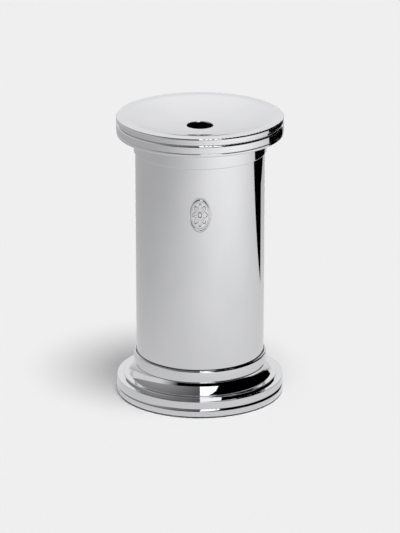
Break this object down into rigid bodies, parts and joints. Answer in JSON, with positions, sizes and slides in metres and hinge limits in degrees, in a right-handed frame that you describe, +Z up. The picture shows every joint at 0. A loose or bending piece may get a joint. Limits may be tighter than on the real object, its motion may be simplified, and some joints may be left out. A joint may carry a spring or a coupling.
{
  "type": "pencil sharpener",
  "caption": "Chromed column-shaped desk pencil sharpener: the pencil goes down through a dished top, and the head lifts off the barrel to empty the shavings.",
  "frame": {"origin": "centre of the underside of the pad, where the sharpener meets the desk", "axes": "+Z up along the column's axis, -Y towards the oval stamp on the barrel, +X to its right"},
  "size_m": [0.0552, 0.0552, 0.0944],
  "materials": {
    "chrome_plate": "mirror polished",
    "black_acetal": "satin",
    "rubber": "matte",
    "brass": "machined",
    "blade_steel": "ground",
    "screw_steel": "zinc plated",
    "aluminium_plate": "machined",
    "iron": "blackened",
    "felt": "felt"
  },
  "bodies": {
    "stand": {"plinth": "chrome_plate", "base_pad": "felt", "base_moulding": "chrome_plate", "foot_ring": "chrome_plate", "base_weight": "iron", "base_washer": "screw_steel", "lock_washer": "screw_steel", "tie_screw": "screw_steel", "barrel": "chrome_plate", "barrel_plug": "brass"},
    "ring": {"grip_ring": "rubber"},
    "head": {"top_flange": "chrome_plate", "neck_collar": "chrome_plate", "collar_screws": "screw_steel", "pencil_guide": "black_acetal", "sharpener_block": "brass", "blade": "blade_steel", "blade_screw": "screw_steel", "carrier_plate": "aluminium_plate", "carrier_screws": "screw_steel"}
  },
  "joints": [
    {"name": "head_lift", "type": "slide", "parent": "stand", "child": "ring", "axis": [0, 0, 1], "range_m": [0, 0.04]},
    {"name": "head_turn", "type": "hinge", "parent": "ring", "child": "head", "pos_m": [0, 0, 0.0825], "axis": [0, 0, 1], "continuous": true}
  ]
}
